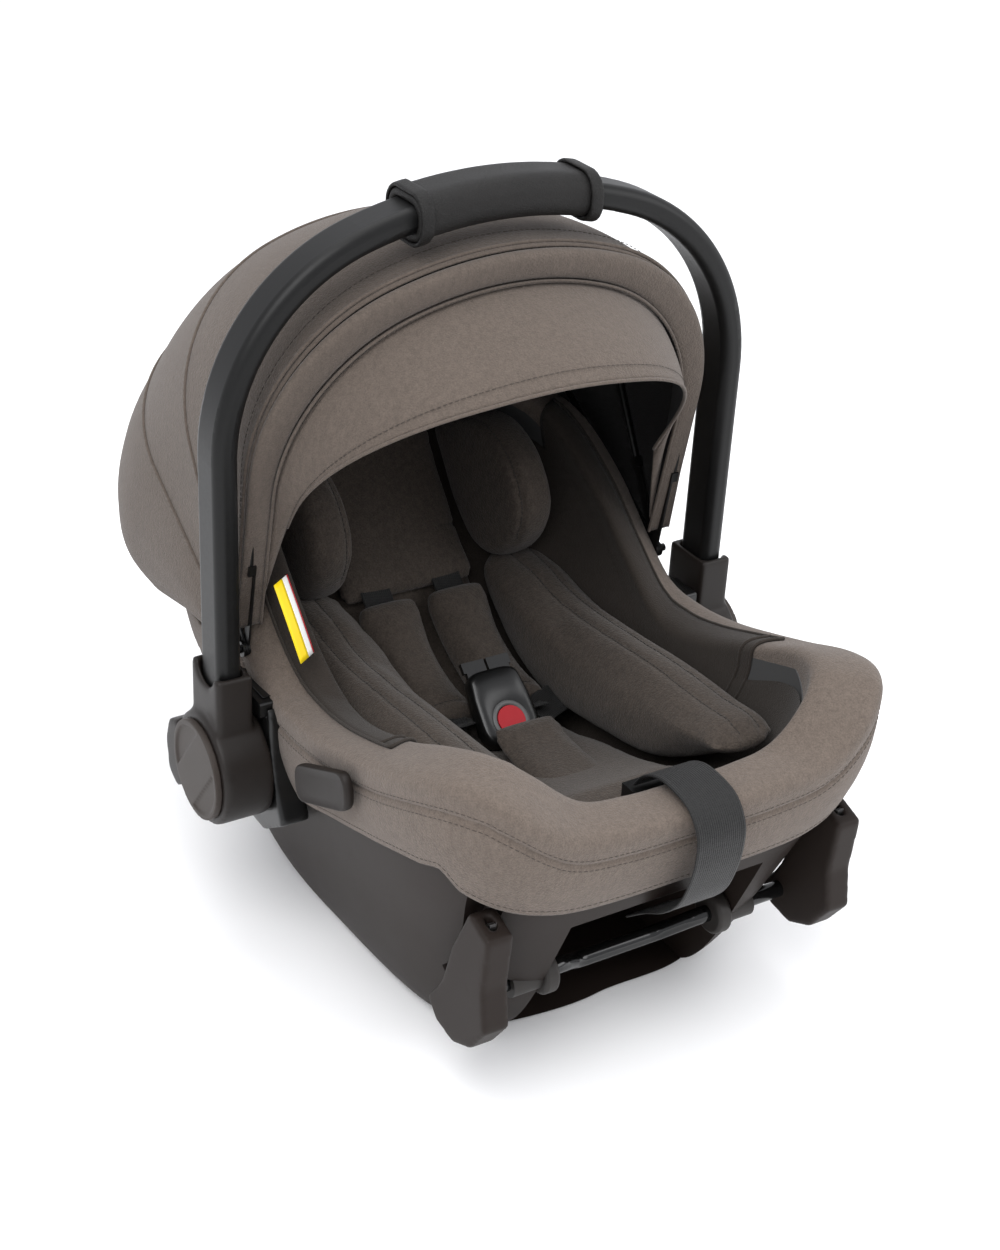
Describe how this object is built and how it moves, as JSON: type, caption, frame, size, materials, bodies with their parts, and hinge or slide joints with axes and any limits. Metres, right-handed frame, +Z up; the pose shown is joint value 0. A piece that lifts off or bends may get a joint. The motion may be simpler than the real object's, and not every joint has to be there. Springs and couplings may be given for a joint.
{
  "type": "infant car seat",
  "caption": "Rear-facing infant car seat shell with padded insert, three-point harness, folding canopy, swinging carry handle and stowable latch arms.",
  "frame": {"origin": "on the flat underside of the shell, on the mirror plane", "axes": "+Z up, -Y to the foot end, +Y to the head end, X across"},
  "size_m": [0.452, 0.6427, 0.5561],
  "materials": {
    "shell_plastic": "matte",
    "cap_plastic": "matte",
    "black_plastic": "satin",
    "foam": "matte",
    "cover_fabric": "matte",
    "insert_fabric": "matte",
    "webbing": "satin",
    "black_tube": "satin",
    "grip_leather": "satin",
    "steel": "satin",
    "gloss_black_metal": "gloss",
    "tongue_plastic": "satin",
    "red_plastic": "gloss"
  },
  "bodies": {
    "shell": {"adjuster_housing": "black_plastic", "adjuster_strap": "webbing", "arm_bushes": "shell_plastic", "belly_pan": "shell_plastic", "belt_guide_left": "shell_plastic", "belt_guide_right": "shell_plastic", "bracket_screws": "steel", "buckle_housing": "black_plastic", "buckle_tongues": "tongue_plastic", "canopy_pins": "steel", "canopy_skirt": "cover_fabric", "crotch_pad": "insert_fabric", "crotch_strap": "webbing", "foam_liner": "foam", "handle_axles": "steel", "head_wing_left": "insert_fabric", "head_wing_right": "insert_fabric", "headrest_pad": "insert_fabric", "hub_bracket_left": "black_plastic", "hub_bracket_right": "black_plastic", "insert_base": "insert_fabric", "insert_bolster_left": "insert_fabric", "insert_bolster_right": "insert_fabric", "lap_straps": "webbing", "seat_cover": "cover_fabric", "seat_liner": "insert_fabric", "seat_shell": "shell_plastic", "shoulder_pad_left": "insert_fabric", "shoulder_pad_right": "insert_fabric", "shoulder_straps": "webbing"},
    "handle": {"handle_tube": "black_tube", "grip_sleeve": "grip_leather", "grip_collars": "grip_leather", "handle_socket_left": "shell_plastic", "handle_socket_right": "shell_plastic", "hub_cap_left": "cap_plastic", "hub_cap_right": "cap_plastic"},
    "handle_button_left": {"handle_button_left": "black_plastic"},
    "handle_button_right": {"handle_button_right": "black_plastic"},
    "canopy_rear": {"bow_rear": "steel", "canopy_panel_rear": "cover_fabric"},
    "canopy_mid": {"bow_mid": "steel", "canopy_panel_mid": "cover_fabric"},
    "canopy_front": {"bow_front": "steel", "canopy_panel_front": "cover_fabric", "canopy_rim": "cover_fabric"},
    "visor": {"visor_panel": "cover_fabric"},
    "latch_arms": {"isofix_arm_left": "shell_plastic", "isofix_arm_right": "shell_plastic", "link_bar": "gloss_black_metal"},
    "claw_left": {"isofix_claw_left": "steel"},
    "claw_right": {"isofix_claw_right": "steel"},
    "buckle_button": {"buckle_button": "red_plastic"},
    "adjuster_lever": {"adjuster_lever": "black_plastic"},
    "release_lever": {"release_lever": "shell_plastic"}
  },
  "joints": [
    {"name": "handle_swing", "type": "hinge", "parent": "shell", "child": "handle", "pos_m": [0, -0.012, 0.15], "axis": [1, 0, 0], "range_deg": [-105, 0]},
    {"name": "handle_button_right_press", "type": "slide", "parent": "shell", "child": "handle_button_right", "axis": [-1, 0, 0], "range_m": [0, 0.004], "stiffness_N_per_m": 400},
    {"name": "handle_button_left_press", "type": "slide", "parent": "shell", "child": "handle_button_left", "axis": [1, 0, 0], "range_m": [0, 0.004], "stiffness_N_per_m": 400},
    {"name": "canopy_fold", "type": "hinge", "parent": "shell", "child": "canopy_rear", "pos_m": [0, 0.01, 0.225], "axis": [1, 0, 0], "range_deg": [-12, 0], "deforming": ["canopy_panel_rear"]},
    {"name": "canopy_mid_fold", "type": "hinge", "parent": "canopy_rear", "child": "canopy_mid", "pos_m": [0, 0.01, 0.225], "axis": [1, 0, 0], "range_deg": [-9.75, 0], "deforming": ["canopy_panel_mid"]},
    {"name": "canopy_front_fold", "type": "hinge", "parent": "canopy_mid", "child": "canopy_front", "pos_m": [0, 0.01, 0.225], "axis": [1, 0, 0], "range_deg": [-13.88, 0], "deforming": ["canopy_panel_front"]},
    {"name": "visor_swing", "type": "hinge", "parent": "canopy_front", "child": "visor", "pos_m": [0, 0.01, 0.225], "axis": [1, 0, 0], "range_deg": [-11, 0]},
    {"name": "latch_swing", "type": "hinge", "parent": "shell", "child": "latch_arms", "pos_m": [0, -0.236, 0.074], "axis": [1, 0, 0], "range_deg": [0, 95]},
    {"name": "claw_right_turn", "type": "hinge", "parent": "latch_arms", "child": "claw_right", "pos_m": [0.14, -0.2747, 0.148], "axis": [1, 0, 0], "range_deg": [-12, 0], "stiffness_Nm_per_rad": 0.05},
    {"name": "claw_left_turn", "type": "hinge", "parent": "latch_arms", "child": "claw_left", "pos_m": [-0.14, -0.2747, 0.148], "axis": [1, 0, 0], "range_deg": [-12, 0], "stiffness_Nm_per_rad": 0.05},
    {"name": "buckle_press", "type": "slide", "parent": "shell", "child": "buckle_button", "axis": [0, 0.6691, -0.7431], "range_m": [0, 0.003], "stiffness_N_per_m": 500},
    {"name": "adjuster_press", "type": "slide", "parent": "shell", "child": "adjuster_lever", "axis": [0, 0, -1], "range_m": [0, 0.004], "stiffness_N_per_m": 300},
    {"name": "release_pull", "type": "slide", "parent": "shell", "child": "release_lever", "axis": [0, 0, 1], "range_m": [0, 0.008], "stiffness_N_per_m": 300}
  ],
  "couplings": [
    {"joint": "canopy_mid_fold", "follows": "canopy_fold", "ratio": 0.8125},
    {"joint": "canopy_front_fold", "follows": "canopy_fold", "ratio": 1.1562}
  ]
}
